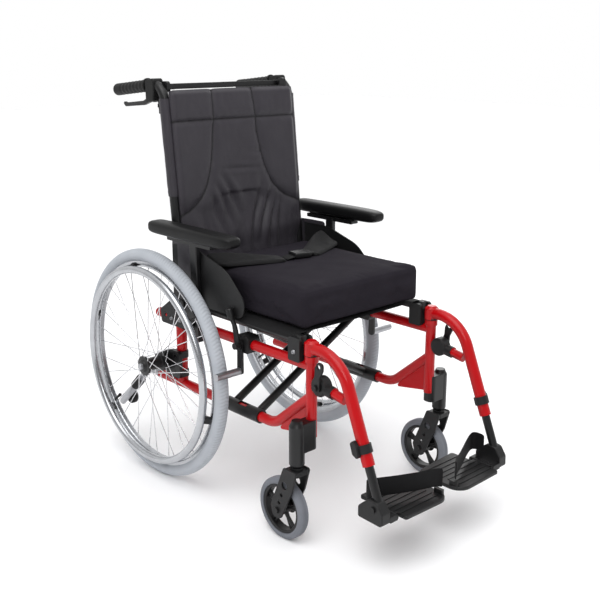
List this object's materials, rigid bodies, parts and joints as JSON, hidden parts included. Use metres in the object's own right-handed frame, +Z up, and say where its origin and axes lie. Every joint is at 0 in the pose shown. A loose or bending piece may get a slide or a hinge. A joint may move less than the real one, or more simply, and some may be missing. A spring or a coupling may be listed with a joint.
{
  "type": "wheelchair",
  "caption": "Folding self-propelled manual wheelchair with swing-away footrests, height-set armrests, push handles with brake levers, cross-braced seat and anti-tipper.",
  "frame": {"origin": "on the floor under the middle of the bounding box", "axes": "+Z up, -Y the way the sitter faces, +X the sitter's left"},
  "size_m": [0.626, 1.1021, 1.0326],
  "materials": {
    "frame_paint": "satin red enamel",
    "black_metal": "satin black powder coat",
    "black_plastic": "moulded black nylon",
    "grip_rubber": "ribbed black rubber",
    "tyre": "light grey non-marking tyre",
    "rim_alloy": "silver anodised",
    "spoke_steel": "bright steel wire",
    "caster_rubber": "mid grey solid tyre",
    "webbing": "woven black webbing",
    "grey_metal": "grey satin metal",
    "pad_foam": "grained black foam",
    "seat_fabric": "smooth black stretch cover",
    "back_fabric": "charcoal coated nylon"
  },
  "bodies": {
    "right_frame": {"right_side_frame": "frame_paint", "right_caster_housing": "black_metal", "right_axle_plate": "black_metal", "right_rail_brackets": "black_plastic", "right_back_post": "black_metal", "right_handle_grip": "grip_rubber", "back_upholstery": "back_fabric"},
    "right_wheel": {"right_tyre": "tyre", "right_rim": "rim_alloy", "right_spokes": "spoke_steel", "right_hub": "black_metal", "right_handrim": "rim_alloy"},
    "right_fork": {"right_caster_fork": "black_plastic"},
    "right_caster": {"right_caster_wheel": "black_plastic", "right_caster_tyre": "caster_rubber"},
    "right_hanger": {"right_hanger": "frame_paint"},
    "right_latch": {"right_release_lever": "black_plastic"},
    "right_footrest": {"right_footrest_tube": "black_metal", "right_heel_strap": "webbing"},
    "right_plate": {"right_footplate": "black_plastic"},
    "right_brake": {"right_brake_lever": "black_metal"},
    "right_shoe": {"right_brake_shoe": "grey_metal"},
    "right_hand_brake": {"right_hand_lever": "black_metal"},
    "right_armrest": {"right_armrest_post": "black_metal", "right_armrest_pad": "pad_foam", "right_side_guard": "black_plastic"},
    "right_bar": {"right_back_bar": "black_metal"},
    "left_frame": {"left_side_frame": "frame_paint", "left_caster_housing": "black_metal", "left_axle_plate": "black_metal", "left_rail_brackets": "black_plastic", "left_back_post": "black_metal", "left_handle_grip": "grip_rubber"},
    "left_wheel": {"left_tyre": "tyre", "left_rim": "rim_alloy", "left_spokes": "spoke_steel", "left_hub": "black_metal", "left_handrim": "rim_alloy"},
    "left_fork": {"left_caster_fork": "black_plastic"},
    "left_caster": {"left_caster_wheel": "black_plastic", "left_caster_tyre": "caster_rubber"},
    "left_hanger": {"left_hanger": "frame_paint"},
    "left_latch": {"left_release_lever": "black_plastic"},
    "left_footrest": {"left_footrest_tube": "black_metal", "left_heel_strap": "webbing"},
    "left_plate": {"left_footplate": "black_plastic"},
    "left_brake": {"left_brake_lever": "black_metal"},
    "left_shoe": {"left_brake_shoe": "grey_metal"},
    "left_hand_brake": {"left_hand_lever": "black_metal"},
    "left_armrest": {"left_armrest_post": "black_metal", "left_armrest_pad": "pad_foam", "left_side_guard": "black_plastic"},
    "left_bar": {"left_back_bar": "black_metal"},
    "brace_a": {"brace_a": "black_metal", "seat_sling": "seat_fabric", "cushion": "seat_fabric", "lap_belt": "webbing"},
    "brace_b": {"brace_b": "black_metal"},
    "anti_tipper": {"anti_tipper": "grey_metal"},
    "anti_tipper_wheel": {"anti_tipper_wheel": "grip_rubber"}
  },
  "joints": [
    {"name": "fold", "type": "hinge", "parent": "right_frame", "child": "brace_a", "pos_m": [-0.207, -0.0541, 0.248], "axis": [0, -1, 0], "range_deg": [0, 40], "deforming": ["seat_sling", "cushion", "lap_belt", "back_upholstery"]},
    {"name": "brace_cross", "type": "hinge", "parent": "brace_a", "child": "brace_b", "pos_m": [0, -0.0541, 0.3625], "axis": [0, -1, 0], "range_deg": [-80, 0]},
    {"name": "brace_foot", "type": "hinge", "parent": "brace_b", "child": "left_frame", "pos_m": [0.207, -0.0541, 0.248], "axis": [0, -1, 0], "range_deg": [0, 40]},
    {"name": "right_wheel_spin", "type": "hinge", "parent": "right_frame", "child": "right_wheel", "pos_m": [-0.267, 0.2459, 0.305], "axis": [1, 0, 0], "continuous": true},
    {"name": "right_caster_swivel", "type": "hinge", "parent": "right_frame", "child": "right_fork", "pos_m": [-0.252, -0.2941, 0.24], "axis": [0, 0, 1], "continuous": true},
    {"name": "right_caster_spin", "type": "hinge", "parent": "right_fork", "child": "right_caster", "pos_m": [-0.252, -0.2496, 0.075], "axis": [1, 0, 0], "continuous": true},
    {"name": "right_hanger_swing", "type": "hinge", "parent": "right_frame", "child": "right_hanger", "pos_m": [-0.207, -0.2941, 0.44], "axis": [0, 0, -1], "range_deg": [0, 85]},
    {"name": "right_hanger_release", "type": "hinge", "parent": "right_hanger", "child": "right_latch", "pos_m": [-0.225, -0.3271, 0.385], "axis": [1, 0, 0], "range_deg": [0, 20], "stiffness_Nm_per_rad": 1},
    {"name": "right_footrest_height", "type": "slide", "parent": "right_hanger", "child": "right_footrest", "axis": [0, -0.3748, -0.9271], "range_m": [-0.012, 0.05]},
    {"name": "right_footplate_flip", "type": "hinge", "parent": "right_footrest", "child": "right_plate", "pos_m": [-0.176, -0.4891, 0.132], "axis": [0, -1, 0], "range_deg": [0, 85], "deforming": ["right_heel_strap"]},
    {"name": "right_brake", "type": "hinge", "parent": "right_frame", "child": "right_brake", "pos_m": [-0.235, -0.0711, 0.424], "axis": [1, 0, 0], "range_deg": [0, 45]},
    {"name": "right_brake_shoe", "type": "hinge", "parent": "right_frame", "child": "right_shoe", "pos_m": [-0.23, -0.0711, 0.424], "axis": [1, 0, 0], "range_deg": [0, 4.05]},
    {"name": "right_hand_lever_squeeze", "type": "hinge", "parent": "right_frame", "child": "right_hand_brake", "pos_m": [-0.205, 0.2889, 0.985], "axis": [1, 0, 0], "range_deg": [0, 6], "stiffness_Nm_per_rad": 2},
    {"name": "right_armrest_lift", "type": "slide", "parent": "right_frame", "child": "right_armrest", "axis": [0, 0, 1], "range_m": [0, 0.08]},
    {"name": "right_bar_drop", "type": "hinge", "parent": "right_frame", "child": "right_bar", "pos_m": [-0.178, 0.2509, 1.013], "axis": [0, 1, 0], "range_deg": [0, 85]},
    {"name": "left_wheel_spin", "type": "hinge", "parent": "left_frame", "child": "left_wheel", "pos_m": [0.267, 0.2459, 0.305], "axis": [1, 0, 0], "continuous": true},
    {"name": "left_caster_swivel", "type": "hinge", "parent": "left_frame", "child": "left_fork", "pos_m": [0.252, -0.2941, 0.24], "axis": [0, 0, 1], "continuous": true},
    {"name": "left_caster_spin", "type": "hinge", "parent": "left_fork", "child": "left_caster", "pos_m": [0.252, -0.2496, 0.075], "axis": [1, 0, 0], "continuous": true},
    {"name": "left_hanger_swing", "type": "hinge", "parent": "left_frame", "child": "left_hanger", "pos_m": [0.207, -0.2941, 0.44], "axis": [0, 0, 1], "range_deg": [0, 85]},
    {"name": "left_hanger_release", "type": "hinge", "parent": "left_hanger", "child": "left_latch", "pos_m": [0.225, -0.3271, 0.385], "axis": [1, 0, 0], "range_deg": [0, 20], "stiffness_Nm_per_rad": 1},
    {"name": "left_footrest_height", "type": "slide", "parent": "left_hanger", "child": "left_footrest", "axis": [0, -0.3748, -0.9271], "range_m": [-0.012, 0.05]},
    {"name": "left_footplate_flip", "type": "hinge", "parent": "left_footrest", "child": "left_plate", "pos_m": [0.176, -0.4891, 0.132], "axis": [0, 1, 0], "range_deg": [0, 85], "deforming": ["left_heel_strap"]},
    {"name": "left_brake", "type": "hinge", "parent": "left_frame", "child": "left_brake", "pos_m": [0.235, -0.0711, 0.424], "axis": [1, 0, 0], "range_deg": [0, 45]},
    {"name": "left_brake_shoe", "type": "hinge", "parent": "left_frame", "child": "left_shoe", "pos_m": [0.23, -0.0711, 0.424], "axis": [1, 0, 0], "range_deg": [0, 4.05]},
    {"name": "left_hand_lever_squeeze", "type": "hinge", "parent": "left_frame", "child": "left_hand_brake", "pos_m": [0.205, 0.2889, 0.985], "axis": [1, 0, 0], "range_deg": [0, 6], "stiffness_Nm_per_rad": 2},
    {"name": "left_armrest_lift", "type": "slide", "parent": "left_frame", "child": "left_armrest", "axis": [0, 0, 1], "range_m": [0, 0.08]},
    {"name": "left_bar_drop", "type": "hinge", "parent": "left_frame", "child": "left_bar", "pos_m": [0.178, 0.2509, 1.013], "axis": [0, -1, 0], "range_deg": [0, 85]},
    {"name": "anti_tipper_turn", "type": "hinge", "parent": "right_frame", "child": "anti_tipper", "pos_m": [-0.207, 0.2659, 0.248], "axis": [0, -1, 0], "range_deg": [0, 180]},
    {"name": "anti_tipper_spin", "type": "hinge", "parent": "anti_tipper", "child": "anti_tipper_wheel", "pos_m": [-0.186, 0.4919, 0.12214], "axis": [1, 0, 0], "continuous": true}
  ],
  "couplings": [
    {"joint": "brace_cross", "follows": "fold", "ratio": -2},
    {"joint": "brace_foot", "follows": "fold", "ratio": 1},
    {"joint": "right_footplate_flip", "follows": "fold", "ratio": 2.125},
    {"joint": "right_brake_shoe", "follows": "right_brake", "ratio": 0.09},
    {"joint": "right_bar_drop", "follows": "fold", "ratio": 2.125},
    {"joint": "left_footplate_flip", "follows": "fold", "ratio": 2.125},
    {"joint": "left_brake_shoe", "follows": "left_brake", "ratio": 0.09},
    {"joint": "left_bar_drop", "follows": "fold", "ratio": 2.125}
  ]
}
